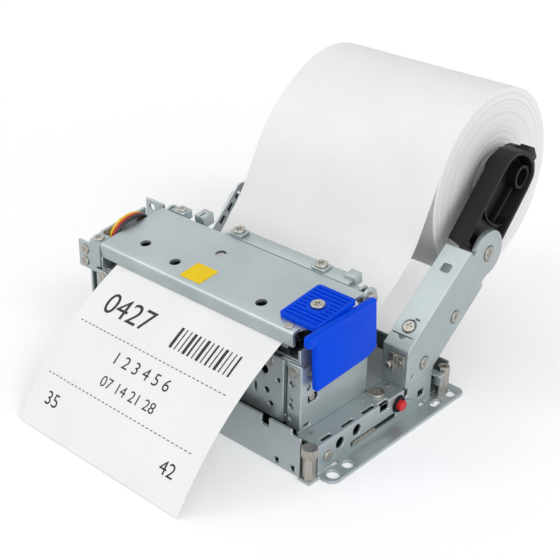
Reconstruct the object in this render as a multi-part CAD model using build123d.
"""Thermal kiosk printer: sheet steel base, hinged cutter cover, roll arm and paper, in mm, Z up."""
import math
import os

from build123d import *

# Frame: origin at the centre of the four main flange holes, on the underside; front is -Y.
SHEET = 0.8
RUN = 0.3
SNUG = 0.1
FIT = 0.05
PAPER_T = 0.15
PAPER_HALF = 29.0

# Widths outward from the paper's edge: side frame, rail wall, flange edge and bolt line.
FRAME_OUT = 6.2
WALL_OUT = 6.8
FLANGE_OUT = 5.2
BOLT_OUT = 2.6
FRAME_X = PAPER_HALF + FRAME_OUT
WALL_X = FRAME_X + WALL_OUT
FLANGE_X = WALL_X + FLANGE_OUT
BOLT_X = WALL_X + BOLT_OUT

# Base rails: flange, wall and ledge of each side.
LEDGE_Z = 8.8
RAIL_FRONT = -27.0
TOE_FRONT = -31.2
RAIL_REAR = 19.0
FLANGE_FRONT = -27.5
FLANGE_REAR = 28.5
BOLT_Y = 24.35
BOLT_R = 1.6
SPARE_HOLE_Y = -18.85
SPARE_HOLE_R = 1.4
EIGHT_Y = (17.05, 18.75)
EIGHT_R = 1.0
LEDGE_SLITS = [(-24.5, -20.8), (-16.8, -12.2), (-8.8, -4.0)]
WALL_WINDOWS = [(-3.1, 0.4), (7.0, 8.4)]
BEND_SLOTS = [(-22.0, -19.5), (13.9, 16.2)]

# Floor tray with its front and rear walls.
TRAY_FRONT = -30.3
TRAY_INSET = 3.0
TRAY_FRONT_HALF = WALL_X - TRAY_INSET
TRAY_FRONT_Z = 12.5
TRAY_REAR_Z = 7.6
DECK_FRONT = 0.3
DECK_TOP = 18.5
TRAY_NOTCHES = [(11.3, 1.2, 10.0, 14.0), (1.4, 1.5, 11.1, 14.0), (7.4, 0.6, 0.9, 2.4), (2.3, 0.6, 0.9, 2.4)]

# Side frames, front posts and upper front panel.
FRAME_REAR = -0.4
FRAME_TOP = 32.0
POST_FRONT = -27.5
POST_X = (FRAME_X - 3.1, FRAME_X + 1.2)
POST_Z = (10.6, 28.4)
POST_TAB_Y = -23.2
POST_TAB_Z = (19.3, 27.4)
PANEL_HALF = POST_X[0] - 1.2
PANEL_Z = (10.8, 28.2)
PANEL_HOLES = [(6.4, 23.3, 1.3), (1.7, 22.0, 0.6), (5.4, 17.8, 0.8), (4.0, 14.4, 0.7)]

# Cover plane: front edge, tilt, depth and lip.
COVER_Y = -26.9
COVER_Z = 35.94
COVER_TILT = 7.42
COVER_DEEP = 23.0
COVER_LIP = 4.0
COVER_LEFT = SNUG - FRAME_X
COVER_RIGHT_FRONT = FRAME_X - 2.5
COVER_RIGHT_REAR = FRAME_X + 0.5
HINGE_Y = -1.0
HINGE_Z = 36.0
HINGE_R = 1.25
EAR_R = 2.8

# Paper run: straight climb through the printer, then the exit bend.
CLIMB = 20.0
CLIMB_Z0 = 22.73
EXIT_FALL = 28.0
APEX_Y = -25.6
INLET_Y = 5.19
RAMP_FRONT = (-19.9, -13.9)
GUIDE_RUN = (-6.5, 1.0)
WEB_FALL = 25.8
LEAVE = 64.1
TICKET_STRAIGHT_Y = -29.0
TICKET_END = (-61.0, 0.4)
CUT_Y = (-20.1, -22.5)

# Roll and its spindle.
ROLL_Y = 60.3
ROLL_Z = 45.6
ROLL_R = 27.3
CORE_R = 10.7
CORE_BORE_R = 9.5
SPINDLE_Y = 60.3
SPINDLE_Z = 50.4
SPINDLE_R = 4.4

# Roll arm and black spindle arm.
ARM_WIDE = 8.0
ARM_X = (WALL_X - ARM_WIDE, WALL_X)
ARM_FRONT = 7.2
ARM_BEND_Z = 19.6
ARM_TOP = (32.4, 39.0)
ARM_TIP = (39.8, 26.4)
ARM_HEEL = (19.5, 10.6)
PIVOT_Y = 42.4
PIVOT_Z = 34.7
PIVOT_R = 1.5
PIVOT_HEAD_R = 2.0
TAB_R = 6.5
RIM_DEEP = 1.0
SWING_X = (ARM_X[0] + 0.9, ARM_X[0] + 5.0)
SWING_BACK_X = ARM_X[0] - 0.4
SWING_R = 8.2
SWING_BULGE = 1.2
SWING_HIGH = (56.8, 51.4)
SWING_LEFT_LEAN = 45.1
SWING_RIGHT_LEAN = 57.9
SWING_LONG = 23.4
SWING_SHORT = 22.2
RIB_LEAN = 46.0
CUP_START = 7.5
HUB_R = 3.4
SWING_WALL = 1.6
ARM_SCREWS = [(27.5, 21.8), (14.8, 13.4)]
ARM_TOP_SCREW = 6.6
ARM_SEAM = 3.9
LATCH_X = ARM_X[0] + ARM_WIDE / 2
LATCH_RIVET_X = LATCH_X + 2.2
LATCH_RIVET_Z = 16.4
LATCH_TOP = 18.4
LATCH_PIN_R = 0.5

# Drive train on the left side: platen, idler and motor pinion.
MODULE = 0.5
PLATEN_R = 5.0
PLATEN_CONTACT_Y = -10.0
SHAFT_R = 1.5
PLATEN_TEETH = 24
IDLER_TEETH = 16
PINION_TEETH = 10
STUD_R = 1.0
GEAR_X = (-FRAME_X - 2.9, -FRAME_X - 0.4)
MOTOR_R = 6.0
MOTOR_AT = (-5.2, 12.0)

# Cutter in the cover, in cover coordinates.
BLADE_W = (-6.5, -5.8)
BLADE_S = (6.8, 12.5)
BLADE_OVER = 2.4
BLADE_HALF = PAPER_HALF + BLADE_OVER
RACK_X = 12.0
RACK_TOP_W = -4.6
CUT_PINION_TEETH = 12
CUT_PINION_S = 25.0

FIXED_S = (0.3, 4.6)
FIXED_W = (-7.25, -6.55)

# Hex pillars of the base.
STANDOFF_FRONT = (WALL_X - 0.7, -29.4)
STANDOFF_REAR = (WALL_X + 0.9, 23.0)
HEX_FLAT = 2.9
REAR_TOP = 9.2
FRONT_TOP = 6.9
NUT_R = 2.1
STUD_HALF = 0.7
NUT_Z = (7.4, 9.6)

# Small controls in the right wall.
BUTTON_Y = 4.6
BUTTON_Z = 5.7
BUTTON_R = 1.4
COLLAR_R = 2.2
SLOT_Y = (-14.4, 3.9)
SLOT_Z = (2.15, 3.55)
STRIP_Y = (-14.1, -5.2)

# Control board and what stands on it.
BOARD_Z = (2.2, 3.4)
BOARD_Y = (-26.0, 26.6)
BOARD_INSET = 1.8
BOARD_HALF = WALL_X - SHEET - BOARD_INSET
SPACER_X = BOARD_HALF - 5.4
SPACER_AT = [(-SPACER_X, -24.5), (SPACER_X, -24.5), (-SPACER_X, 23.5), (SPACER_X, 23.5)]
SOCKET_X = (-22.0, 6.0)

# Places of screws and nubs.
LEDGE_SCREWS = [(FRAME_X + 2.4, 0.6)]
LEDGE_NUBS = [(FRAME_X + 1.6, -4.1), (FRAME_X + 1.9, -23.6), (FRAME_X + 2.2, 5.6)]
NUB_R = 0.7
NUB_H = 0.25
FRAME_SCREW = (-21.5, 17.2)
FRAME_SINK = 0.75
WALL_SCREW = (-23.5, 4.4)
FOOT_SCREW_X = (-WALL_X + 2.0, -WALL_X + 5.0)
FOOT_SCREW_Y = 13.5
GUIDE_FOOT_Y = (8.5, 18.5)
GUIDE_TOP = [(8.5, 20.6), (14.2, 27.1), (25.0, 37.6), (31.0, 37.2), (31.6, 31.0)]
GUIDE_SLOTS = [(24.4, 34.4), (21.2, 31.4), (17.9, 28.4)]
PANEL_SCREW = (PANEL_HALF - 4.3, 26.2)
POST_SCREW = (POST_X[0] + 1.9, 26.3)

# Left bracket, its wires and their plugs.
BRACKET_X = -FRAME_X - 4.1
BRACKET_FRONT = -27.05
EAR_SCREWS = [(BRACKET_X - 1.7, 32.4), (BRACKET_X - 1.9, 28.9)]
BRACKET_TOP_SCREW = (BRACKET_X + 2.1, 1.7)
WIRE_R = 0.45
WIRE_X = (BRACKET_X + 1.4, BRACKET_X + 2.4, BRACKET_X + 3.4)
PLUG_Y = (-21.4, -7.8)
PLUG_TOP = (31.0, 32.0)

# Fittings of the cover, in cover coordinates.
COVER_HOLES = [(-25.1, 7.4), (-12.1, 5.6), (-5.3, 15.4), (18.2, 5.2)]
COVER_HOLE_R = 1.5
COVER_SCREW = (COVER_RIGHT_FRONT - 2.7, 2.0)
RAIL_S = (23.3, 27.8)
TONGUE_S = 15.0
CLAMP_X = (-8.1, 20.2)
CLAMP_S = 25.4
PAD_X = (COVER_RIGHT_REAR - 10.3, COVER_RIGHT_REAR + 1.4)
PAD_S = (3.45, 18.35)
PAD_T = 1.2
PAD_SCREW = (PAD_X[0] + 5.9, 10.9)
GUIDE_X = (BLADE_HALF - 1.8, BLADE_HALF + 1.8)
GUIDE_S = (5.2, 12.8)
HEAD_Y = (-14.0, -6.8)
LEVER_X = (FRAME_X + 2.3, FRAME_X + 3.8)
KNUCKLE_X = (FRAME_X - 2.5, FRAME_X - 1.7)
KNUCKLE_H = 2.6
RAIL_SCREW_X = -FRAME_X + 5.4
LEVER_AT = (-12.0, 31.0)
LEVER_PIN_R = 1.8
LEVER_OUTLINE = [(-28.5, 37.6), (-3.4, 37.5), (-2.2, 24.4), (-5.4, 22.9), (-24.9, 21.6), (-26.1, 33.5),
                 (-28.5, 36.2)]
LEVER_TAB_Y = (-28.4, -27.3)
LEVER_TAB_Z = (35.8, 37.4)
LEVER_TAB_DEEP = 0.9
STICKER_X = (-6.8, 0.3)
STICKER_S = (2.0, 8.8)
STICKER_T = 0.12
ANGLE_S = (8.0, 18.0)
ANGLE_DROP = 9.0

# Screw heads, radius and height, and their shank.
SCREW_R = 1.6
SCREW_H = 0.5
SHANK_R = 0.8
SINK_R = 1.9
SINK_H = 0.3


def block(x0, x1, y0, y1, z0, z1):
    """A box between two corners."""
    return Pos((x0 + x1) / 2, (y0 + y1) / 2, (z0 + z1) / 2) * Box(x1 - x0, y1 - y0, z1 - z0)


def rod_x(r, x0, x1, y, z):
    """A round bar along X."""
    return Pos((x0 + x1) / 2, y, z) * Rot(0, 90, 0) * Cylinder(r, x1 - x0)


def rod_y(r, y0, y1, x, z):
    """A round bar along Y."""
    return Pos(x, (y0 + y1) / 2, z) * Rot(90, 0, 0) * Cylinder(r, y1 - y0)


def rod_z(r, z0, z1, x, y):
    """A round bar along Z."""
    return Pos(x, y, (z0 + z1) / 2) * Cylinder(r, z1 - z0)


def slab_x(outline, x0, x1):
    """An outline of (y, z) points pushed out along X."""
    face = Plane.YZ.offset(x0) * make_face(Polyline(*outline, close=True))
    return extrude(face, amount=x1 - x0, dir=(1, 0, 0))


def strip_x(path, thick, x0, x1):
    """A bent sheet: a (y, z) path given a thickness and pushed out along X."""
    face = Plane.YZ.offset(x0) * trace(path, line_width=thick)
    return extrude(face, amount=x1 - x0, dir=(1, 0, 0))


def both_sides(shape):
    """The shape and its twin on the other side of the middle plane."""
    return [shape, mirror(shape, about=Plane.YZ)]


def on_cover(shape):
    """Puts a shape made in cover coordinates (x, s, w) onto the tilted cover plane."""
    return Pos(0, COVER_Y, COVER_Z) * Rot(COVER_TILT, 0, 0) * shape


def cover_point(s, w):
    """The (y, z) place of cover coordinates s, w."""
    c = math.cos(math.radians(COVER_TILT))
    k = math.sin(math.radians(COVER_TILT))
    return COVER_Y + c * s - k * w, COVER_Z + k * s + c * w


def climb_z(y, below=0.0):
    """Height of the paper's climbing line at y, less a distance measured square to the paper."""
    slope = math.tan(math.radians(CLIMB))
    return CLIMB_Z0 - slope * y - below / math.cos(math.radians(CLIMB))


def screw(r=SCREW_R, h=SCREW_H, shank=1.5):
    """A pan head screw standing on the XY plane, head up, with a cross recess."""
    blank = rod_z(r, 0, h, 0, 0)
    head = fillet(blank.edges().group_by(Axis.Z)[-1], h * 0.35)
    recess = Pos(0, 0, h) * (Box(r * 1.1, r * 0.28, h) + Box(r * 0.28, r * 1.1, h))
    return head - recess + Pos(0, 0, -shank / 2) * Cylinder(SHANK_R, shank)


def gear(teeth, thick):
    """A spur gear on the XY plane; thin teeth leave backlash."""
    pitch_r = teeth * MODULE / 2
    root_r = pitch_r - 1.15 * MODULE
    tip_r = pitch_r + 0.8 * MODULE
    step = math.pi * MODULE
    tooth = Polyline(
        (root_r - 0.2, -0.3 * step), (pitch_r, -0.2 * step), (tip_r, -0.1 * step),
        (tip_r, 0.1 * step), (pitch_r, 0.2 * step), (root_r - 0.2, 0.3 * step), close=True)
    face = Circle(root_r) + [Rot(0, 0, 360 * i / teeth) * make_face(tooth) for i in range(teeth)]
    return extrude(face, amount=thick)


def gear_x(teeth, y, z, turn, x0, x1):
    """A gear whose axis lies along X, turned so that a tooth points at the given angle from +Y."""
    seat = Plane(origin=(x0, y, z), x_dir=(0, 1, 0), z_dir=(1, 0, 0))
    return seat.location * Rot(0, 0, turn) * gear(teeth, x1 - x0)


def rail_blank():
    """One base rail before its wall is pierced: flange with holes, wall and ledge, right side."""
    flange = block(WALL_X - SHEET, FLANGE_X, FLANGE_FRONT, FLANGE_REAR, 0, SHEET)
    corners = flange.edges().filter_by(Axis.Z).group_by(Axis.X)[-1]
    flange = fillet(corners, 2.5)
    wall = block(WALL_X - SHEET, WALL_X, RAIL_FRONT, RAIL_REAR, 0, LEDGE_Z)
    ledge = block(FRAME_X, WALL_X, RAIL_FRONT, RAIL_REAR, LEDGE_Z - SHEET, LEDGE_Z)
    toe = block(TRAY_FRONT_HALF + 0.2, WALL_X + 1, TOE_FRONT, RAIL_FRONT, 0, SHEET)
    rail = flange + wall + ledge + toe
    for y in (-BOLT_Y, BOLT_Y):
        rail -= rod_z(BOLT_R, -1, 2, BOLT_X, y)
    rail -= rod_z(SPARE_HOLE_R, -1, 2, BOLT_X, SPARE_HOLE_Y)
    for y in EIGHT_Y:
        rail -= rod_z(EIGHT_R, -1, 2, BOLT_X, y)
    for y0, y1 in BEND_SLOTS:
        rail -= block(WALL_X - 1.5, WALL_X + 0.5, y0, y1, -1, 0.9)
    for y0, y1 in LEDGE_SLITS:
        rail -= block(WALL_X - 1.9, WALL_X - 1.0, y0, y1, LEDGE_Z - 2, LEDGE_Z + 1)
    for y, z in ((-18.8, 5.8), (-12.3, 6.2)):
        rail -= rod_x(1.5, WALL_X - 2, WALL_X + 1, y, z)
    for y0, y1 in WALL_WINDOWS:
        rail -= block(WALL_X - 1.2, WALL_X + 1, y0, y1, 6.3, LEDGE_Z + 1)
    rail -= block(WALL_X - 2, WALL_X + 1, 13.2, 15.7, 3.3, 5.4)
    return rail


def rail_right():
    """Right rail with the slot of the slider, the button opening and a slit below it."""
    rail = rail_blank()
    rail -= block(WALL_X - 2, WALL_X + 1, *SLOT_Y, *SLOT_Z)
    rail -= rod_x(COLLAR_R + SNUG, WALL_X - 2, WALL_X + 1, BUTTON_Y, BUTTON_Z)
    for x, y in LEDGE_SCREWS:
        rail -= rod_z(SHANK_R + SNUG, LEDGE_Z - 2, LEDGE_Z + 1, x, y)
    for x, y in LEDGE_NUBS:
        rail -= rod_z(NUB_R / 2, LEDGE_Z - 2, LEDGE_Z + 1, x, y)
    return rail - rod_x(SHANK_R + SNUG, WALL_X - 2, WALL_X + 1, *WALL_SCREW)


def rail_left():
    """Left rail: the same blank with two screw holes for the roll guide's foot."""
    rail = mirror(rail_blank(), about=Plane.YZ)
    for x in FOOT_SCREW_X:
        rail -= rod_z(SHANK_R + SNUG, LEDGE_Z - 2, LEDGE_Z + 1, x, FOOT_SCREW_Y)
    return rail


def base_floor():
    """Floor with a folded-up front wall and rear wall; the rear wall has a socket opening."""
    inner = WALL_X - SHEET
    floor = block(-inner, inner, RAIL_FRONT, FLANGE_REAR, 0, SHEET)
    floor += block(-TRAY_FRONT_HALF, TRAY_FRONT_HALF, TRAY_FRONT, RAIL_FRONT, 0, SHEET)
    front = block(-TRAY_FRONT_HALF, TRAY_FRONT_HALF, TRAY_FRONT, TRAY_FRONT + SHEET, 0, TRAY_FRONT_Z)
    for side in (-1, 1):
        for inset, half, z0, z1 in TRAY_NOTCHES:
            x = side * (TRAY_FRONT_HALF - inset)
            front -= block(x - half, x + half, TRAY_FRONT - 1, TRAY_FRONT + 2, z0, z1)
    rear = block(-inner, inner, FLANGE_REAR - SHEET, FLANGE_REAR, 0, TRAY_REAR_Z)
    rear -= block(SOCKET_X[0] - SNUG, SOCKET_X[1] + SNUG, FLANGE_REAR - 2, FLANGE_REAR + 1, BOARD_Z[1], 9)
    return floor + front + rear


def rear_deck():
    """Sheet between the ledges behind the side frames, with an upright under the paper guide."""
    half = FRAME_X - 2 * SNUG
    deck = block(-half, half, DECK_FRONT, RAIL_REAR, LEDGE_Z - SHEET, LEDGE_Z)
    wide = ARM_X[0] - SHEET
    deck += block(-wide, wide, DECK_FRONT + 0.9, DECK_FRONT + 0.9 + SHEET, LEDGE_Z - SHEET, DECK_TOP)
    return deck - block(3 - wide, wide - 3, DECK_FRONT, DECK_FRONT + 3, LEDGE_Z, LEDGE_Z + 2.2)


def side_frame():
    """Right side frame: upright sheet with a front flange, hinge ear and bearing hole."""
    x0 = FRAME_X - SHEET
    back = POST_FRONT + SHEET
    sheet = block(x0, FRAME_X, back, FRAME_REAR, LEDGE_Z - SHEET, FRAME_TOP)
    sheet += block(x0, FRAME_X, HINGE_Y - EAR_R, HINGE_Y + EAR_R, FRAME_TOP - 6, HINGE_Z)
    sheet += rod_x(EAR_R, x0, FRAME_X, HINGE_Y, HINGE_Z)
    sheet -= rod_x(HINGE_R, x0 - 1, FRAME_X + 1, HINGE_Y, HINGE_Z)
    flange = block(PANEL_HALF - 1.6, FRAME_X, back, back + SHEET, POST_Z[0], POST_Z[1])
    flange -= block(PANEL_HALF, POST_X[0], back - 1, back + 2, POST_Z[0] + 2, POST_Z[1] - 2)
    frame = sheet + flange - rod_y(SHANK_R + SNUG, back - 1, back + 2, *POST_SCREW)
    platen_y, platen_z = platen_at()
    frame -= rod_x(SHAFT_R + 1.0, x0 - 1, FRAME_X + 1, platen_y, platen_z)
    slot_y, slot_z = FRAME_SCREW
    frame -= block(x0 - 1, FRAME_X + 1, slot_y - 1.8, slot_y + 1.8, slot_z - 1.1, slot_z + 1.1)
    frame -= block(x0 - 1, FRAME_X + 1, -24.6, -22.4, 9.8, 10.6)
    return frame


def platen_at():
    """Centre (y, z) of the platen, one radius below the underside of the climbing paper."""
    a = math.radians(CLIMB)
    top = climb_z(PLATEN_CONTACT_Y, PAPER_T / 2)
    return PLATEN_CONTACT_Y - PLATEN_R * math.sin(a), top - PLATEN_R * math.cos(a)


def frame_left():
    """Left side frame: the twin of the right one with holes for the idler stud and motor shaft."""
    frame = mirror(side_frame(), about=Plane.YZ)
    idler_y, idler_z = idler_at()
    frame -= rod_x(STUD_R, -FRAME_X - 1, -FRAME_X + 2, idler_y, idler_z)
    return frame - rod_x(2.6, -FRAME_X - 1, -FRAME_X + 2, *MOTOR_AT)


def idler_at():
    """Centre (y, z) of the idler, in mesh with the platen gear and the motor pinion."""
    py, pz = platen_at()
    my, mz = MOTOR_AT
    far = math.hypot(my - py, mz - pz)
    ra = (PLATEN_TEETH + IDLER_TEETH) * MODULE / 2
    rb = (IDLER_TEETH + PINION_TEETH) * MODULE / 2
    along = (ra * ra - rb * rb + far * far) / (2 * far)
    off = math.sqrt(ra * ra - along * along)
    ey, ez = (my - py) / far, (mz - pz) / far
    return py + along * ey - off * ez, pz + along * ez + off * ey


def front_posts():
    """Two narrow front plates with a folded outer tab and a row of holes."""
    back = POST_FRONT + SHEET
    post = block(*POST_X, POST_FRONT, back, *POST_Z)
    post += block(POST_X[1] - SHEET, POST_X[1], POST_FRONT, POST_TAB_Y, *POST_TAB_Z)
    for z, r in ((22.7, 0.8), (18.3, 0.4), (16.5, 0.7), (13.3, 0.7)):
        post -= rod_y(r, POST_FRONT - 1, back + 0.1, POST_X[0] + 1.3, z)
    post -= rod_y(SHANK_R + SNUG, POST_FRONT - 1, back + 1, *POST_SCREW)
    for y, z in ((-24.6, 25.4), (-24.6, 21.7)):
        post -= rod_x(0.7, POST_X[1] - 1, POST_X[1] + 1, y, z)
    return both_sides(post)


def front_panel():
    """Upper front panel between the posts, pierced near both ends."""
    back = POST_FRONT + SHEET
    panel = block(-PANEL_HALF, PANEL_HALF, POST_FRONT, back, *PANEL_Z)
    for side in (-1, 1):
        for inset, z, r in PANEL_HOLES:
            panel -= rod_y(r, POST_FRONT - 1, back + 1, side * (PANEL_HALF - inset), z)
        slit = side * (PANEL_HALF - 9.1)
        panel -= block(slit - 0.4, slit + 0.4, POST_FRONT - 1, back + 1, 16.0, 18.4)
        panel -= rod_y(SHANK_R + SNUG, POST_FRONT - 1, back + 1, side * PANEL_SCREW[0], PANEL_SCREW[1])
    return panel


def cutter_bed():
    """Bar across the frames that carries the fixed blade, with the front ramp behind it."""
    inner = FRAME_X - SHEET
    back = POST_FRONT + 2 * SHEET
    top_front = cover_point(FIXED_S[0], FIXED_W[0])
    top_rear = cover_point(FIXED_S[1], FIXED_W[0])
    low = top_front[1] - 2.6
    bar = slab_x([top_front, top_rear, (top_rear[0], low), (back, low), (back, top_front[1])], -inner, inner)
    front, rear = RAMP_FRONT
    half = PAPER_T / 2
    ramp = [(front, climb_z(front, half)), (rear, climb_z(rear, half)), (rear, climb_z(rear, half + SHEET)),
            (front + 1.2, low), (top_rear[0], low), (top_rear[0], low + 1.6), (front, low + 1.6)]
    return bar + slab_x(ramp, -PAPER_HALF - 0.2, PAPER_HALF + 0.2)


def fixed_blade():
    """Flat lower blade lying on the bed, its edge facing the rear."""
    half = BLADE_HALF - 0.4
    return on_cover(block(-half, half, *FIXED_S, *FIXED_W))


def exit_guide():
    """Low wedge on the fixed blade that the outgoing ticket slides over."""
    front, rear = -24.4, -23.4
    half = PAPER_T / 2
    outline = [(front, climb_z(front, half)), (rear, climb_z(rear, half)),
               cover_point(2.7, FIXED_W[1]), cover_point(1.2, FIXED_W[1])]
    return slab_x(outline, -PAPER_HALF - 0.5, PAPER_HALF + 0.5)


def paper_guide():
    """Sloping sheet behind the platen, under the paper, with a turned-down inlet edge."""
    front, rear = GUIDE_RUN
    top = PAPER_T / 2
    low = top + SHEET
    outline = [(front, climb_z(front, top)), (rear, climb_z(rear, top)),
               (rear + 3.5, climb_z(rear, top) - 2.2), (rear + 3.1, climb_z(rear, top) - 2.9),
               (rear - 0.1, climb_z(rear, low)), (front, climb_z(front, low))]
    return slab_x(outline, -FRAME_X + SHEET, FRAME_X - SHEET)


def platen_rubber():
    """Rubber sleeve of the platen."""
    y, z = platen_at()
    half = PAPER_HALF + 0.5
    return rod_x(PLATEN_R, -half, half, y, z) - rod_x(SHAFT_R, -half - 1, half + 1, y, z)


def platen_shaft():
    """Steel shaft through both bushes with the gear at its left end."""
    y, z = platen_at()
    shaft = rod_x(SHAFT_R, GEAR_X[0] - 0.2, FRAME_X + 0.6, y, z)
    return shaft + gear_x(PLATEN_TEETH, y, z, mesh_turns()[0], *GEAR_X)


def platen_bushes():
    """Two flanged bushes in the side frames."""
    y, z = platen_at()
    x0 = FRAME_X - SHEET
    bush = rod_x(SHAFT_R + 1.0, x0 - 1.0, FRAME_X + 0.2, y, z) + rod_x(SHAFT_R + 1.9, x0 - 1.0, x0, y, z)
    return both_sides(bush - rod_x(SHAFT_R + FIT, x0 - 2, FRAME_X + 1, y, z))


def mesh_turns():
    """Turn of each gear, so that every tooth faces a gap: platen, idler and motor pinion."""
    py, pz = platen_at()
    iy, iz = idler_at()
    my, mz = MOTOR_AT
    to_idler = math.degrees(math.atan2(iz - pz, iy - py))
    to_motor = math.degrees(math.atan2(mz - iz, my - iy))
    idler = to_idler + 180 + 180 / IDLER_TEETH
    past = (to_motor - idler) % (360 / IDLER_TEETH)
    pinion = to_motor + 180 + past * IDLER_TEETH / PINION_TEETH + 180 / PINION_TEETH
    return to_idler, idler, pinion


def idler_gear():
    """Gear between the platen gear and the motor pinion."""
    y, z = idler_at()
    wheel = gear_x(IDLER_TEETH, y, z, mesh_turns()[1], *GEAR_X)
    return wheel - rod_x(STUD_R + FIT, GEAR_X[0] - 1, GEAR_X[1] + 1, y, z)


def motor_pinion():
    """Pinion with the motor shaft."""
    wheel = gear_x(PINION_TEETH, *MOTOR_AT, mesh_turns()[2], *GEAR_X)
    return wheel + rod_x(1.0, GEAR_X[0], -FRAME_X + 3.6, *MOTOR_AT)


def feed_motor():
    """Round motor on the inner face of the left side frame."""
    face = -FRAME_X + SHEET
    body = rod_x(MOTOR_R, face, face + 14.5, *MOTOR_AT) + rod_x(MOTOR_R - 1.2, face, face + 16.0, *MOTOR_AT)
    return body - rod_x(1.3, face - 1, face + 3.4, *MOTOR_AT)


def control_board():
    """Main board above the floor."""
    return block(-BOARD_HALF, BOARD_HALF, *BOARD_Y, *BOARD_Z)


def board_parts():
    """Chips and a plug header on the board."""
    top = BOARD_Z[1]
    return [block(-8, 4, -8, 4, top, top + 1.4), block(-24, -14, -20, -12, top, top + 1.6),
            block(12, 20, -24, -20, top, top + 4.0), block(22, 27, 6, 14, top, top + 1.2)]


def rear_socket():
    """Socket on the rear edge of the board, for a lead that is not part of this object."""
    body = block(*SOCKET_X, 17.0, FLANGE_REAR + 0.6, BOARD_Z[1], BOARD_Z[1] + 4.0)
    low, high = BOARD_Z[1] + 0.9, BOARD_Z[1] + 3.1
    mouth = block(SOCKET_X[0] + 1, SOCKET_X[1] - 1, FLANGE_REAR - 6, FLANGE_REAR + 2, low, high)
    return body - mouth


def push_switch():
    """Right-angle switch on the board with a collar that comes through the wall."""
    body = block(WALL_X - 5.5, WALL_X - SHEET, BUTTON_Y - 3.0, BUTTON_Y + 3.0, BOARD_Z[1], 7.8)
    body += rod_x(COLLAR_R, WALL_X - SHEET, WALL_X + 0.6, BUTTON_Y, BUTTON_Z)
    return body - rod_x(BUTTON_R + SNUG, WALL_X - 1.4, WALL_X + 1, BUTTON_Y, BUTTON_Z)


def feed_button():
    """Red plunger, free to go in by most of a millimetre."""
    rod = rod_x(BUTTON_R, WALL_X - 0.3, WALL_X + 1.7, BUTTON_Y, BUTTON_Z)
    return fillet(rod.edges().group_by(Axis.X)[-1], 0.3)


def slider_strip():
    """Nickel strip that slides in the long wall slot, with a wider inner flange."""
    inner = WALL_X - SHEET - SNUG
    strip = block(inner - 0.8, WALL_X + 0.3, *STRIP_Y, SLOT_Z[0] + 0.15, SLOT_Z[1] - 0.15)
    strip += block(inner - 0.8, inner, *STRIP_Y, SLOT_Z[0] - 0.6, SLOT_Z[1] + 0.6)
    grips = [block(WALL_X + 0.1, WALL_X + 1, y, y + 0.4, 0, 9) for y in (-13.0, -12.0, -11.0)]
    for grip in grips:
        strip -= grip
    return strip


def hex_post(x, y, z0, z1):
    """A hexagonal pillar, 2.9 across flats."""
    section = RegularPolygon(HEX_FLAT / 2, 6, major_radius=False)
    return Pos(x, y, z0) * Rot(0, 0, 30) * extrude(section, amount=z1 - z0)


def thumb_nuts():
    """Ribbed nuts on the studs of the front pillars."""
    x, y = STANDOFF_FRONT
    low, high = NUT_Z
    nut = rod_z(NUT_R, low, high, x, y)
    for i in range(18):
        turn = math.radians(360 * i / 18)
        nut -= rod_z(0.2, low + 0.3, high + 1, x + NUT_R * math.cos(turn), y + NUT_R * math.sin(turn))
    return both_sides(nut - rod_z(STUD_HALF, low - 1, high + 1, x, y))


def standoffs():
    """Pillars of the base: front pair with studs, rear pair and the four spacers under the board."""
    pillar = hex_post(*STANDOFF_FRONT, SHEET, FRONT_TOP)
    pillar += rod_z(STUD_HALF, FRONT_TOP, NUT_Z[1], *STANDOFF_FRONT)
    rear = hex_post(*STANDOFF_REAR, SHEET, REAR_TOP)
    rear -= rod_z(0.7, REAR_TOP - 1.5, REAR_TOP + 1, *STANDOFF_REAR)
    spacers = [rod_z(2.0, SHEET, BOARD_Z[0], x, y) for x, y in SPACER_AT]
    return both_sides(pillar) + both_sides(rear) + spacers


def rear_clips():
    """Small plates from the rear pillars to the rear edges of the ledges."""
    x, y = STANDOFF_REAR
    near = y - HEX_FLAT / math.sqrt(3) - SNUG
    clip = block(WALL_X - 4, x + 1.6, RAIL_REAR, near, 7.5, 8.3)
    clip += block(x - 1.2, x + 1.2, near - SHEET, near, 4.0, 8.3)
    return both_sides(clip)


def paper_web():
    """Paper from the roll down to the inlet and up the climb to the cutter."""
    a = math.radians(LEAVE)
    reach = ROLL_R + RUN
    start = (ROLL_Y - reach * math.sin(a), ROLL_Z + reach * math.cos(a))
    turn = (start[0] - WEB_FALL * math.cos(a), start[1] - WEB_FALL * math.sin(a))
    path = FilletPolyline(start, turn, (INLET_Y, climb_z(INLET_Y)), (CUT_Y[0], climb_z(CUT_Y[0])), radius=6.0)
    return strip_x(path, PAPER_T, -PAPER_HALF, PAPER_HALF)


def ticket():
    """Printed length in front of the cutter, over the exit bend and curling down to the counter."""
    a = math.radians(EXIT_FALL)
    apex = (APEX_Y, climb_z(APEX_Y))
    straight = (TICKET_STRAIGHT_Y, apex[1] - math.tan(a) * (APEX_Y - TICKET_STRAIGHT_Y))
    bend = FilletPolyline((CUT_Y[1], climb_z(CUT_Y[1])), apex, straight, radius=2.5)
    curl = TangentArc(straight, TICKET_END, tangent=(-math.cos(a), -math.sin(a)))
    return strip_x(bend + curl, PAPER_T, -PAPER_HALF, PAPER_HALF)


def paper_roll():
    """Wound paper."""
    ring = rod_x(ROLL_R, -PAPER_HALF, PAPER_HALF, ROLL_Y, ROLL_Z)
    return ring - rod_x(CORE_R, -PAPER_HALF - 1, PAPER_HALF + 1, ROLL_Y, ROLL_Z)


def roll_core():
    """Cardboard tube of the roll."""
    half = PAPER_HALF - 0.4
    tube = rod_x(CORE_R, -half, half, ROLL_Y, ROLL_Z)
    return tube - rod_x(CORE_BORE_R, -half - 1, half + 1, ROLL_Y, ROLL_Z)


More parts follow.
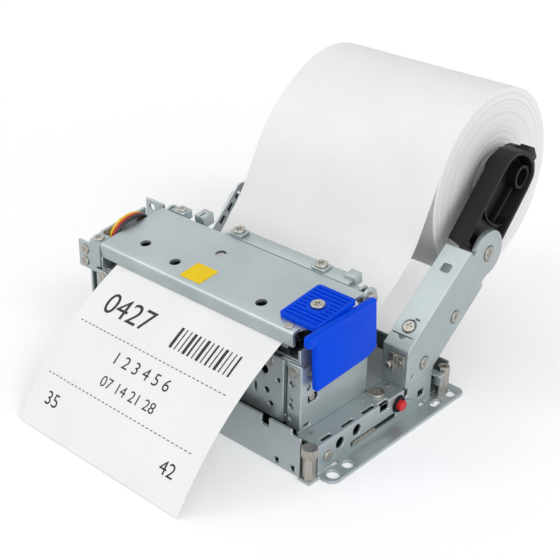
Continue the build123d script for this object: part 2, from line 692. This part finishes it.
def arm_slope():
    """Slope of the arm's top face, in radians."""
    return math.atan2(ARM_TOP[1] - ARM_BEND_Z, ARM_TOP[0] - ARM_FRONT)


def arm_top_seat():
    """Placing on the sloping top face of the arm: x, distance up the slope, height above it."""
    return Pos(0, ARM_FRONT, ARM_BEND_Z) * Rot(math.degrees(arm_slope()), 0, 0)


def roll_arm():
    """Bent steel channel that stands on the right ledge and leans to the rear."""
    x0, x1 = ARM_X
    a = arm_slope()
    clipped = (ARM_TOP[0] + 1.8, ARM_TOP[1] - 2.3)
    outer = [(ARM_FRONT, LEDGE_Z), (ARM_FRONT, ARM_BEND_Z), ARM_TOP, clipped, ARM_TIP, ARM_HEEL,
             (RAIL_REAR, LEDGE_Z)]
    drop = SHEET / math.cos(a)
    corner = (ARM_FRONT + SHEET, ARM_BEND_Z + SHEET * math.tan(a) - drop)
    far = (ARM_TOP[0] + 20, ARM_TOP[1] + 20 * math.tan(a) - drop)
    inner = [(ARM_FRONT + SHEET, 0), corner, far, (far[0], 0)]
    arm = slab_x(outer, x0, x1) - slab_x(inner, x0 + SHEET, x1 - SHEET)
    for y, z in ARM_SCREWS:
        arm -= rod_x(SHANK_R + SNUG, x1 - 2, x1 + 1, y, z) + rod_x(SINK_R, x1 - SINK_H, x1 + 1, y, z)
    arm -= rod_y(LATCH_PIN_R, ARM_FRONT - 1, ARM_FRONT + 2, LATCH_RIVET_X, LATCH_RIVET_Z)
    top = arm_top_seat()
    middle = (x0 + x1) / 2
    arm -= top * block(x0 - 1, x1 - 1.3, ARM_SEAM - 0.15, ARM_SEAM + 0.1, -SHEET - SNUG, 2)
    arm -= top * (rod_z(1.1, -2, 2, middle - 0.3, ARM_SEAM) & block(x0, x1, 0, ARM_SEAM, -2, 2))
    arm -= top * block(middle + 0.4, middle + 1.7, ARM_TOP_SCREW + 2.3, ARM_TOP_SCREW + 2.6, -2, 2)
    window = fillet(block(middle - 1.3, middle + 1.3, 24.0, 26.4, -2, 2).edges().filter_by(Axis.Z), 0.6)
    arm -= top * window
    arm -= Pos(x1, 9.9, 11.3) * Rot(45, 0, 0) * Box(3, 1.5, 0.6)
    arm -= top * rod_z(SINK_R, -SINK_H, 2, middle, ARM_TOP_SCREW)
    return arm - top * rod_z(SHANK_R + SNUG, -2, 2, middle, ARM_TOP_SCREW)


def pivot_plate():
    """Plate inside the arm whose round end carries the pivot."""
    x1 = ARM_X[1] - SHEET
    x0 = x1 - SHEET
    a = arm_slope()
    uy, uz = math.cos(a), math.sin(a)
    half, back = 5.2, 22.0
    outline = [(PIVOT_Y - half * uz, PIVOT_Z + half * uy), (PIVOT_Y + half * uz, PIVOT_Z - half * uy),
               (PIVOT_Y + half * uz - back * uy, PIVOT_Z - half * uy - back * uz),
               (PIVOT_Y - half * uz - back * uy, PIVOT_Z + half * uy - back * uz)]
    plate = slab_x(outline, x0, x1) + rod_x(TAB_R, x0, x1, PIVOT_Y, PIVOT_Z)
    rim = rod_x(TAB_R, x0 - RIM_DEEP, x0, PIVOT_Y, PIVOT_Z)
    rim -= rod_x(TAB_R - SHEET, x0 - 2, x1, PIVOT_Y, PIVOT_Z)
    upper = block(x0 - 2, x1, -4.5, TAB_R, 0.5, TAB_R)
    plate += rim & Pos(0, PIVOT_Y, PIVOT_Z) * Rot(math.degrees(a), 0, 0) * upper
    plate -= rod_x(PIVOT_R, x0 - 1, x1 + 1, PIVOT_Y, PIVOT_Z)
    plate -= rod_x(PIVOT_HEAD_R + SNUG * 3, x1 - SINK_H, x1 + 1, PIVOT_Y, PIVOT_Z)
    return plate - rod_x(SHANK_R + SNUG, x0 - 1, x1 + 1, *ARM_SCREWS[0])


def pivot_screw():
    """Shoulder screw of the spindle arm with its retaining ring."""
    x1 = ARM_X[1] - SHEET
    body = rod_x(PIVOT_R, SWING_X[0] - 0.5, x1 - SINK_H, PIVOT_Y, PIVOT_Z)
    head = seat(x1 - SINK_H, PIVOT_Y, PIVOT_Z, (1, 0, 0)) * screw(PIVOT_HEAD_R, 0.5, 0.2)
    ring = rod_x(PIVOT_R + 1.0, SWING_X[0] - 0.9, SWING_X[0] - 0.3, PIVOT_Y, PIVOT_Z)
    return body + head + ring


def swing_outline():
    """Outline of the black arm from its low left corner, over the round end and down to the pivot."""
    y, z = SWING_HIGH
    left = math.radians(SWING_LEFT_LEAN)
    right = math.radians(SWING_RIGHT_LEAN)
    wide = SWING_R + SWING_BULGE
    top_left = (y - wide * math.sin(left), z + wide * math.cos(left))
    low_left = (top_left[0] - SWING_LONG * math.cos(left), top_left[1] - SWING_LONG * math.sin(left))
    top = (y - 0.3 * SWING_R, z + 0.95 * SWING_R)
    top_right = (y + 0.98 * SWING_R, z + 0.19 * SWING_R)
    low_right = (top_right[0] - SWING_SHORT * math.cos(right), top_right[1] - SWING_SHORT * math.sin(right))
    heel = (PIVOT_Y + 4.2, PIVOT_Z - 4.2)
    toe = (PIVOT_Y - 5.2, PIVOT_Z + 2.9)
    return [low_left, top_left, top, top_right, low_right, heel, toe]


def swing_body(x0, x1, less):
    """Solid of the black arm outline, made smaller all round by a wall thickness."""
    points = swing_outline()
    face = make_face(Polyline(*points, close=True)) + Pos(*SWING_HIGH) * Circle(SWING_R)
    face += Pos(PIVOT_Y, PIVOT_Z) * Circle(6.1)
    if less:
        face = offset(face, amount=-less)
    return extrude(Plane.YZ.offset(x0) * face, amount=x1 - x0, dir=(1, 0, 0))


def swing_back():
    """Deeper back of the black arm above the end of the steel channel."""
    low_left, top_left, top, top_right, low_right = swing_outline()[:5]
    middle_right = ((top_right[0] + low_right[0]) / 2, (top_right[1] + low_right[1]) / 2)
    inside = (PIVOT_Y + 3.0, PIVOT_Z + 9.6)
    x0, x1 = SWING_BACK_X, SWING_X[0]
    back = slab_x([low_left, top_left, top, top_right, middle_right, inside], x0, x1)
    return back + rod_x(SWING_R, x0, x1, *SWING_HIGH)


def spindle_arm():
    """Black moulded arm: walled outline, middle rib, hub ring, shoulder and the roll spindle."""
    x0, x1 = SWING_X
    floor = x0 + SWING_WALL
    along = Pos(0, PIVOT_Y, PIVOT_Z) * Rot(RIB_LEAN, 0, 0)
    cup = swing_body(floor, x1 + 1, SWING_WALL) & along * block(x0, x1 + 1, CUP_START, 40, -20, 20)
    arm = swing_body(x0, x1, 0) + swing_back() - cup
    rib = Pos(0, SPINDLE_Y, SPINDLE_Z) * Rot(RIB_LEAN, 0, 0) * block(x0, x1 - 1.0, -22.0, -3.0, -0.5, 0.5)
    arm += rib & swing_body(x0, x1, SWING_WALL / 2)
    arm += rod_x(HUB_R, x0, x1 - 0.7, SPINDLE_Y, SPINDLE_Z)
    arm += rod_x(3.8, x0, ARM_X[1] - 2 * SHEET - RUN, PIVOT_Y, PIVOT_Z)
    arm += rod_x(8.0, PAPER_HALF + 3.2, x0, SPINDLE_Y, SPINDLE_Z)
    arm += rod_x(SPINDLE_R, -PAPER_HALF - 2.5, x0, SPINDLE_Y, SPINDLE_Z)
    arm -= rod_x(HUB_R - 0.9, x1 - 2.6, x1 + 1, SPINDLE_Y, SPINDLE_Z)
    return arm - rod_x(PIVOT_R + FIT, x0 - 1, ARM_X[1], PIVOT_Y, PIVOT_Z)


def spindle_cap():
    """Round end cap that keeps the roll on the spindle."""
    end = -PAPER_HALF - 2.5
    return rod_x(6.2, end - 1.6, end, SPINDLE_Y, SPINDLE_Z)


def latch():
    """Nickel plate with a rib and a round stub that slides up and down the arm's front face."""
    front = ARM_FRONT - SNUG
    back = front - SHEET
    plate = block(LATCH_X - 1.2, ARM_X[1] - 0.6, back, front, 15.0, LATCH_TOP)
    plate += block(LATCH_X - 1.2, LATCH_X + 1.0, back, front, 13.4, 15.0)
    plate += block(LATCH_X + 0.7, LATCH_X + 1.0, back - 1.0, front, 13.4, LATCH_TOP)
    plate += rod_y(0.8, back - 1.8, front, LATCH_X - 0.3, 15.4)
    slot = block(LATCH_RIVET_X - 0.6, LATCH_RIVET_X + 0.6, front - 2, front + 1, 14.0, LATCH_RIVET_Z + 0.6)
    return plate - slot


def left_guide():
    """Upright sheet that guides the left end of the roll, with a foot on the left ledge."""
    x1 = -ARM_X[0] + 0.4
    x0 = x1 - SHEET
    front = GUIDE_FOOT_Y[0]
    plate = slab_x([(front, LEDGE_Z), *GUIDE_TOP, (RAIL_REAR, LEDGE_Z)], x0, x1)
    plate = fillet(plate.edges().filter_by(Axis.X).filter_by_position(Axis.Z, 30.0, 45.0), 2.4)
    for y, z in GUIDE_SLOTS:
        plate -= Pos(x0, y, z) * Rot(44.0, 0, 0) * Box(4, 2.4, 1.2)
    foot = block(-WALL_X, x1, *GUIDE_FOOT_Y, LEDGE_Z, LEDGE_Z + SHEET)
    for x in FOOT_SCREW_X:
        foot -= rod_z(SHANK_R + SNUG, LEDGE_Z - 1, LEDGE_Z + 2, x, FOOT_SCREW_Y)
    return plate + foot


def left_bracket():
    """Outer sheet of the left side: wall, front ear, top flange and rear ear."""
    x0, x1 = BRACKET_X, BRACKET_X + SHEET
    back = BRACKET_FRONT + SHEET
    outline = [(BRACKET_FRONT, LEDGE_Z), (BRACKET_FRONT, 35.0), cover_point(4.3, 0.6), cover_point(20.0, 0.6),
               (-7.0, 32.0), (-2.6, 32.0), (-2.6, 24.0), (-9.0, LEDGE_Z)]
    wall = slab_x(outline, x0, x1)
    ear = block(x0 - 4.5, -POST_X[1] - RUN, BRACKET_FRONT, back, 26.8, 34.6)
    ear += block(x0, -FRAME_X, BRACKET_FRONT, back, 28.7, 35.6)
    flange = on_cover(block(x0, -FRAME_X - 0.2, 0.2, 4.3, -SHEET, 0))
    flange -= on_cover(rod_z(SHANK_R + SNUG, -2, 2, *BRACKET_TOP_SCREW))
    rear = block(x0 - 3.5, -FRAME_X - RUN, -3.4, -2.6, 30.0, 39.4) - rod_y(1.0, -5, -1, x0 - 1.0, 37.3)
    bracket = wall + ear + flange + rear
    for x, z in EAR_SCREWS:
        bracket -= rod_y(SHANK_R + SNUG, BRACKET_FRONT - 1, back + 1, x, z)
    return bracket


def wire_plugs():
    """Two plugs on the inside of the left bracket."""
    x0 = BRACKET_X + SHEET
    return [block(x0, -FRAME_X - 0.1, y - 0.9, y + 0.9, top - 3.0, top) for y, top in zip(PLUG_Y, PLUG_TOP)]


def wire(x):
    """One wire, whole, from plug to plug along the left edge of the cover."""
    y0, y1 = PLUG_Y
    s0 = (y0 - COVER_Y) / math.cos(math.radians(COVER_TILT))
    s1 = (y1 - COVER_Y) / math.cos(math.radians(COVER_TILT))
    high0, high1 = cover_point(s0, -0.4)[1], cover_point(s1, -0.4)[1]
    ends = [(x, y0, PLUG_TOP[0]), (x, y0, high0), (x, y1, high1), (x, y1, PLUG_TOP[1])]
    path = FilletPolyline(*ends, radius=2.0)
    return sweep(Plane(origin=path @ 0, z_dir=path % 0) * Circle(WIRE_R), path=path)


def hinge_pins():
    """Two headed pins in the ears of the side frames."""
    pin = rod_x(HINGE_R, KNUCKLE_X[0] - RUN, FRAME_X, HINGE_Y, HINGE_Z)
    head = rod_x(1.5, FRAME_X, FRAME_X + 1.2, HINGE_Y, HINGE_Z)
    return both_sides(pin + head)


def cover_plate():
    """Flat cover with a folded front lip and a right edge that widens to the rear."""
    outline = [(COVER_LEFT, 0), (COVER_RIGHT_FRONT, 0), (COVER_RIGHT_FRONT, 2.6),
               (COVER_RIGHT_FRONT + 1.1, 4.2), (COVER_RIGHT_REAR, COVER_DEEP), (COVER_LEFT, COVER_DEEP)]
    plate = extrude(make_face(Polyline(*outline, close=True)), amount=-SHEET, dir=(0, 0, 1))
    plate += block(COVER_LEFT, COVER_RIGHT_FRONT, 0, SHEET, -COVER_LIP, 0)
    for x, s in COVER_HOLES:
        plate -= rod_z(COVER_HOLE_R, -2, 1, x, s)
    for x, s in (COVER_SCREW, PAD_SCREW):
        plate -= rod_z(SHANK_R + SNUG, -2, 1, x, s)
    return on_cover(plate)


def rear_rail():
    """Rail behind the cover: strip, tongue under the cover, guide tabs and hinge knuckles."""
    rail = block(-KNUCKLE_X[1], KNUCKLE_X[1], *RAIL_S, -SHEET, 0)
    rail += block(RUN - BLADE_HALF + 1.1, BLADE_HALF - RUN - 1.1, TONGUE_S, RAIL_S[1], -2 * SHEET, -SHEET)
    right = KNUCKLE_X[0] - 3.1
    left = 10.2 - KNUCKLE_X[0]
    rail += block(right - 2.2, right + 2.2, RAIL_S[1] - SHEET, RAIL_S[1], 0, 1.6)
    rail += block(left - 1.7, left + 1.7, RAIL_S[1] - 3.2, RAIL_S[1] + SHEET, 0, SHEET)
    rail += block(left - 1.7, left + 1.7, RAIL_S[1], RAIL_S[1] + SHEET, -2.4, SHEET)
    rail -= block(left - 0.3, left + 0.3, RAIL_S[1] - 2.6, RAIL_S[1] - 0.8, 0.2, 2)
    for x in CLAMP_X:
        rail -= rod_z(SHANK_R + SNUG, -3, 1, x, CLAMP_S)
    rail -= rod_z(SHANK_R + SNUG, -3, 1, RAIL_SCREW_X, CLAMP_S)
    rail = on_cover(rail)
    knuckle = block(*KNUCKLE_X, HINGE_Y - 2.0, HINGE_Y + 1.0, HINGE_Z, HINGE_Z + KNUCKLE_H)
    knuckle += rod_x(2.3, *KNUCKLE_X, HINGE_Y, HINGE_Z)
    for part in both_sides(knuckle):
        rail += part
    return rail - rod_x(HINGE_R + FIT, -FRAME_X, FRAME_X, HINGE_Y, HINGE_Z)


def rail_clamps():
    """Two small square plates screwed down on the rail."""
    plates = []
    for x in CLAMP_X:
        plate = block(x - 2.1, x + 2.1, CLAMP_S - 1.8, CLAMP_S + 1.8, 0, SHEET)
        plates.append(on_cover(plate - rod_z(SHANK_R + SNUG, -1, 2, x, CLAMP_S)))
    return plates


def sticker():
    """Plain yellow sticker."""
    return on_cover(block(*STICKER_X, *STICKER_S, 0, STICKER_T))


def pad():
    """Blue grooved grip on the cover with a smooth ring round its screw."""
    grip = block(*PAD_X, *PAD_S, 0, PAD_T)
    grip = fillet(grip.edges().filter_by(Axis.Z), 1.0)
    step = (PAD_S[1] - PAD_S[0]) / 11
    grooves = [block(PAD_X[0] + 0.8, PAD_X[1] - 0.8, s - 0.3, s + 0.3, PAD_T - 0.4, 2)
               for s in [PAD_S[0] + step * (i + 1) for i in range(10)]]
    keep = rod_z(2.9, 0, PAD_T, *PAD_SCREW)
    for groove in grooves:
        grip -= groove - keep
    return on_cover(grip - rod_z(SHANK_R + SNUG, -1, 3, *PAD_SCREW))


def side_bracket():
    """Angle under the right edge of the cover that carries the blue lever."""
    outer = LEVER_X[0] - 0.4
    angle = block(GUIDE_X[1] + RUN, outer, *ANGLE_S, -2 * SHEET, -SHEET)
    angle += block(outer - SHEET, outer, *ANGLE_S, -ANGLE_DROP, -SHEET)
    return on_cover(angle) - rod_x(LEVER_PIN_R + FIT, outer - 2, outer + 1, *LEVER_AT)


def lever():
    """Blue side lever with a finger tab at the front and a pivot stub."""
    plate = slab_x(LEVER_OUTLINE, *LEVER_X)
    plate += block(LEVER_X[0] - LEVER_TAB_DEEP, LEVER_X[0], *LEVER_TAB_Y, *LEVER_TAB_Z)
    return plate + rod_x(LEVER_PIN_R, LEVER_X[0] - 1.2, LEVER_X[0], *LEVER_AT)


def thermal_head():
    """Flat print head just above the paper over the platen."""
    low = -(PAPER_T / 2 + SNUG)
    high = low - 1.2
    y0, y1 = HEAD_Y
    lower = [(y0, climb_z(y0, low)), (y1, climb_z(y1, low))]
    upper = [(y1, climb_z(y1, high)), (y0, climb_z(y0, high))]
    return slab_x(lower + upper, -PAPER_HALF, PAPER_HALF)


def heat_sink():
    """Metal block on the head, up to just below the blade, hung on two posts from the rail's tongue."""
    high = -(PAPER_T / 2 + SNUG) - 1.2
    y0, y1 = HEAD_Y
    outline = [(y0, climb_z(y0, high)), (y1, climb_z(y1, high)), cover_point(19.0, BLADE_W[0] - RUN),
               cover_point(13.0, BLADE_W[0] - RUN)]
    sink = slab_x(outline, -PAPER_HALF + 1, PAPER_HALF - 1)
    for x in (7.0 - PAPER_HALF, PAPER_HALF - 5.0):
        sink += on_cover(rod_z(1.8, BLADE_W[0] - 1, -2 * SHEET, x, 17.0))
    return sink


def blade_guides():
    """Two slotted blocks under the cover that the ends of the blade slide in."""
    x0, x1 = GUIDE_X
    guide = block(x0, x1, *GUIDE_S, BLADE_W[0] - 0.7, -SHEET)
    low, high = BLADE_W[0] - SNUG, BLADE_W[1] + SNUG
    guide -= block(x0 - 1, BLADE_HALF + SNUG, GUIDE_S[0] - 1, GUIDE_S[1] + 1, low, high)
    return [on_cover(part) for part in both_sides(guide)]


def moving_blade():
    """Upper blade with a ground front edge and its rack."""
    s0, s1 = BLADE_S
    low, high = BLADE_W
    edge = [(s0, low), (s0 + 0.9, high), (s1, high), (s1, low)]
    return on_cover(slab_x(edge, -BLADE_HALF, BLADE_HALF) + blade_rack())


def blade_rack():
    """Rack on the blade, in cover coordinates, that reaches back to the cutter pinion."""
    step = math.pi * MODULE
    root = RACK_X + 1.15 * MODULE
    low, high = BLADE_W[1], RACK_TOP_W
    rack = block(root, RACK_X + 2.2, 8.6, 30.5, low, high)
    tip = RACK_X - 0.8 * MODULE
    for i in range(-2, 4):
        s = CUT_PINION_S + step * (i + 0.5)
        tooth = Polyline((root + 0.2, s - 0.3 * step), (tip, s - 0.1 * step), (tip, s + 0.1 * step),
                         (root + 0.2, s + 0.3 * step), close=True)
        rack += Pos(0, 0, low) * extrude(make_face(tooth), amount=high - low, dir=(0, 0, 1))
    return rack


def cutter_pinion():
    """Pinion beside the rack with its shaft, square to the cover."""
    x = RACK_X - CUT_PINION_TEETH * MODULE / 2
    wheel = Pos(x, CUT_PINION_S, BLADE_W[1] + SNUG) * gear(CUT_PINION_TEETH, 1.0)
    return on_cover(wheel + rod_z(0.8, -8.4, -2 * SHEET - SNUG, x, CUT_PINION_S))


def cutter_motor():
    """Motor under the pinion with a flange plate hung on two posts from the rail."""
    x = RACK_X - CUT_PINION_TEETH * MODULE / 2
    top = BLADE_W[0] + 0.1
    body = rod_z(4.4, -13.0, top - SHEET, x, CUT_PINION_S)
    body += block(x - 9.5, x + 9.5, CUT_PINION_S - 3.0, CUT_PINION_S + 2.6, top - SHEET, top)
    for side in (-1, 1):
        body += rod_z(1.2, top - SHEET, -2 * SHEET, x + side * 8.2, CUT_PINION_S)
    return on_cover(body - rod_z(1.0, -8.8, 0, x, CUT_PINION_S))


def seat(x, y, z, out):
    """Placing at a point with local Z along an outward direction."""
    return Plane(origin=(x, y, z), z_dir=out).location


def front_screws():
    """Pan head screws of the posts, the front panel and the left ear, facing the front."""
    heads = []
    for side in (-1, 1):
        heads.append(seat(side * POST_SCREW[0], POST_FRONT, POST_SCREW[1], (0, -1, 0)) * screw(1.5, 0.3))
        heads.append(seat(side * PANEL_SCREW[0], POST_FRONT, PANEL_SCREW[1], (0, -1, 0)) * screw(1.2, 0.3))
    for x, z in EAR_SCREWS:
        heads.append(seat(x, BRACKET_FRONT, z, (0, -1, 0)) * screw(1.4, 0.4))
    return heads


def side_screws():
    """Screws that face outward: side frames, right wall and the arm's outer face."""
    sunk = FRAME_X - FRAME_SINK
    heads = [seat(side * sunk, *FRAME_SCREW, (side, 0, 0)) * screw(1.0, 0.5, 0.8) for side in (1, -1)]
    heads.append(seat(WALL_X, *WALL_SCREW, (1, 0, 0)) * screw(1.5))
    return heads + [seat(ARM_X[1] - SINK_H, y, z, (1, 0, 0)) * screw(shank=1.2) for y, z in ARM_SCREWS]


def top_screws():
    """Screws that face up on the base: ledge, roll guide foot, rear clips, arm top and left bracket."""
    heads = [Pos(x, y, LEDGE_Z) * screw(2.3, 0.6, 0.9) for x, y in LEDGE_SCREWS]
    heads += [Pos(x, FOOT_SCREW_Y, LEDGE_Z + SHEET) * screw(1.4) for x in FOOT_SCREW_X]
    heads.append(arm_top_seat() * Pos(sum(ARM_X) / 2, ARM_TOP_SCREW, -SINK_H) * screw(shank=1.2))
    heads.append(on_cover(Pos(*BRACKET_TOP_SCREW, 0) * screw(1.6, 0.6)))
    return heads


def rivets():
    """Riveted pieces of the base: ledge nubs, the rivet that guides the latch, the idler's stud."""
    made = [rod_z(NUB_R, LEDGE_Z, LEDGE_Z + NUB_H, x, y) + rod_z(NUB_R / 2, LEDGE_Z - SHEET, LEDGE_Z, x, y)
            for x, y in LEDGE_NUBS]
    front = ARM_FRONT - 2 * SNUG - SHEET
    pin = rod_y(LATCH_PIN_R, front, ARM_FRONT + SHEET, LATCH_RIVET_X, LATCH_RIVET_Z)
    made.append(pin + rod_y(0.9, front - 0.4, front, LATCH_RIVET_X, LATCH_RIVET_Z))
    y, z = idler_at()
    made.append(rod_x(STUD_R, GEAR_X[0] - 0.1, -FRAME_X + SHEET, y, z))
    return made


def cover_screws():
    """Screws on the cover, its pad, its clamps and its rail."""
    heads = [Pos(*COVER_SCREW, 0) * screw(1.2, 0.3), Pos(*PAD_SCREW, PAD_T) * screw(1.8, 0.8, 1.9),
             Pos(RAIL_SCREW_X, CLAMP_S, 0) * screw(1.4)]
    heads += [Pos(x, CLAMP_S, SHEET) * screw(1.7, 0.8, 2.2) for x in CLAMP_X]
    return [on_cover(head) for head in heads]


NODES = {
    "base_floor": base_floor,
    "rear_deck": rear_deck,
    "rail_right": rail_right,
    "rail_left": rail_left,
    "frame_right": side_frame,
    "frame_left": frame_left,
    "front_posts": front_posts,
    "front_panel": front_panel,
    "cutter_bed": cutter_bed,
    "fixed_blade": fixed_blade,
    "exit_guide": exit_guide,
    "paper_guide": paper_guide,
    "platen_bushes": platen_bushes,
    "feed_motor": feed_motor,
    "control_board": control_board,
    "board_parts": board_parts,
    "rear_socket": rear_socket,
    "push_switch": push_switch,
    "standoffs": standoffs,
    "thumb_nuts": thumb_nuts,
    "rear_clips": rear_clips,
    "roll_arm": roll_arm,
    "pivot_plate": pivot_plate,
    "pivot_screw": pivot_screw,
    "left_guide": left_guide,
    "left_bracket": left_bracket,
    "wire_plugs": wire_plugs,
    "wire_yellow": lambda: wire(WIRE_X[0]),
    "wire_red": lambda: wire(WIRE_X[1]),
    "wire_dark": lambda: wire(WIRE_X[2]),
    "hinge_pins": hinge_pins,
    "base_screws": lambda: front_screws() + side_screws() + top_screws(),
    "rivets": rivets,
    "paper_web": paper_web,
    "ticket": ticket,
    "cover_plate": cover_plate,
    "rear_rail": rear_rail,
    "rail_clamps": rail_clamps,
    "sticker": sticker,
    "pad": pad,
    "side_bracket": side_bracket,
    "thermal_head": thermal_head,
    "heat_sink": heat_sink,
    "blade_guides": blade_guides,
    "cutter_motor": cutter_motor,
    "cover_screws": cover_screws,
    "lever": lever,
    "moving_blade": moving_blade,
    "cutter_pinion": cutter_pinion,
    "platen_rubber": platen_rubber,
    "platen_shaft": platen_shaft,
    "idler_gear": idler_gear,
    "motor_pinion": motor_pinion,
    "spindle_arm": spindle_arm,
    "spindle_cap": spindle_cap,
    "paper_roll": paper_roll,
    "roll_core": roll_core,
    "feed_button": feed_button,
    "slider_strip": slider_strip,
    "latch": latch,
}


def main():
    """Builds every node and writes one file for each."""
    os.makedirs("parts", exist_ok=True)
    for name, make in NODES.items():
        made = make()
        shape = Compound(children=made) if isinstance(made, list) else made
        export_step(shape, f"parts/{name}.step")
        print(name, round(shape.volume, 2), len(shape.solids()))


if __name__ == "__main__":
    main()
